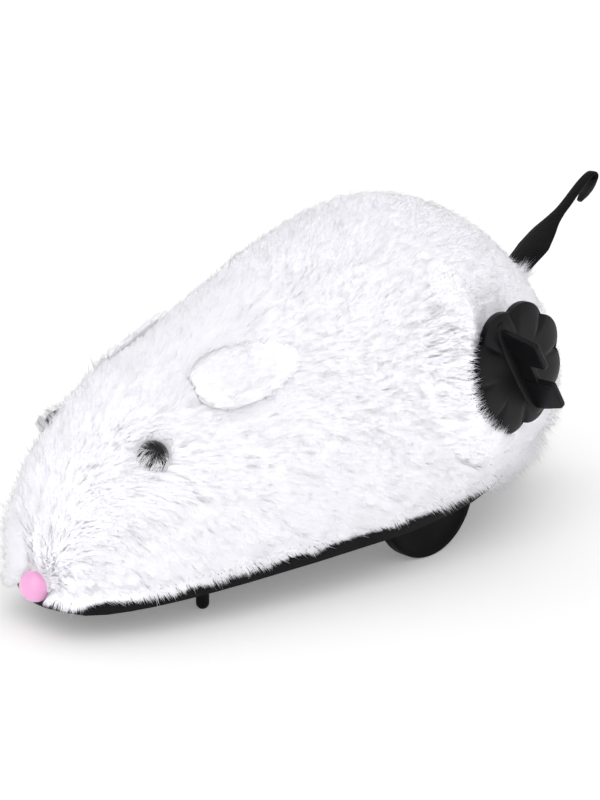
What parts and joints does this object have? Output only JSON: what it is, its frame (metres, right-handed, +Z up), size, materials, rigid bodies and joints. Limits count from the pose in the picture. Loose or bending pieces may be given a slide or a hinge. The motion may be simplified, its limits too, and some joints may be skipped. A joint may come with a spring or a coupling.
{
  "type": "clockwork mouse",
  "caption": "Wind-up toy mouse: white plush body with bead eyes and nose on a black wheeled base, side winding key, tail strip and an inner spring motor.",
  "frame": {"origin": "on the floor under the middle of the rear axle", "axes": "+Z up; the nose points along -Y; +X is the mouse's left, where the winding key is"},
  "size_m": [0.0553, 0.1141, 0.0496],
  "materials": {
    "black_abs": "moulded black ABS, fine spark texture",
    "shell_abs": "natural white moulded shell",
    "plush": "short white plush pile",
    "felt": "smooth white fleece felt",
    "eye_black": "polished black bead",
    "nose_pink": "glossy candy-pink bead",
    "tail_leather": "black imitation leather strip",
    "key_abs": "satin black moulded key",
    "wheel_abs": "satin black moulded wheel",
    "gear_nylon": "natural nylon gear",
    "steel": "turned and plated steel",
    "spring_steel": "blued spring steel strip",
    "zinc_steel": "stamped zinc-plated steel"
  },
  "bodies": {
    "chassis": {"base": "black_abs", "body_shell": "shell_abs", "plush_cover": "plush", "ear_left": "felt", "ear_right": "felt", "eye_left": "eye_black", "eye_right": "eye_black", "nose_bead": "nose_pink", "mainspring": "spring_steel", "intermediate_pin": "steel", "motor_plate_left": "zinc_steel", "motor_plate_right": "zinc_steel", "motor_pillars": "steel", "motor_screws": "steel", "base_screws": "steel"},
    "wheelset": {"rear_axle": "steel", "wheel_left": "wheel_abs", "wheel_right": "wheel_abs", "axle_pinion": "gear_nylon"},
    "intermediate": {"intermediate_gear": "gear_nylon"},
    "winder": {"winding_key": "key_abs", "winding_arbor": "steel", "great_gear": "gear_nylon", "ratchet_wheel": "steel", "click_stud": "steel"},
    "pawl": {"click": "steel"},
    "tail": {"tail_strip": "tail_leather"}
  },
  "joints": [
    {"name": "wheel_spin", "type": "hinge", "parent": "chassis", "child": "wheelset", "pos_m": [0, 0, 0.0091], "axis": [1, 0, 0], "continuous": true},
    {"name": "intermediate_spin", "type": "hinge", "parent": "chassis", "child": "intermediate", "pos_m": [0, 0.00143, 0.01824], "axis": [1, 0, 0], "continuous": true},
    {"name": "key_spin", "type": "hinge", "parent": "chassis", "child": "winder", "pos_m": [0, 0.007, 0.0283], "axis": [1, 0, 0], "continuous": true},
    {"name": "click_lift", "type": "hinge", "parent": "winder", "child": "pawl", "pos_m": [0, -0.00018, 0.02565], "axis": [-1, 0, 0], "range_deg": [0, 12], "stiffness_Nm_per_rad": 0.00001, "springref_deg": -5.73},
    {"name": "tail_flex", "type": "hinge", "parent": "chassis", "child": "tail", "pos_m": [0, 0.0335, 0.0323], "axis": [1, 0, 0], "range_deg": [-20, 20], "stiffness_Nm_per_rad": 0.0002}
  ],
  "couplings": [
    {"joint": "intermediate_spin", "follows": "wheel_spin", "ratio": -0.32143},
    {"joint": "key_spin", "follows": "wheel_spin", "ratio": 0.089286}
  ]
}
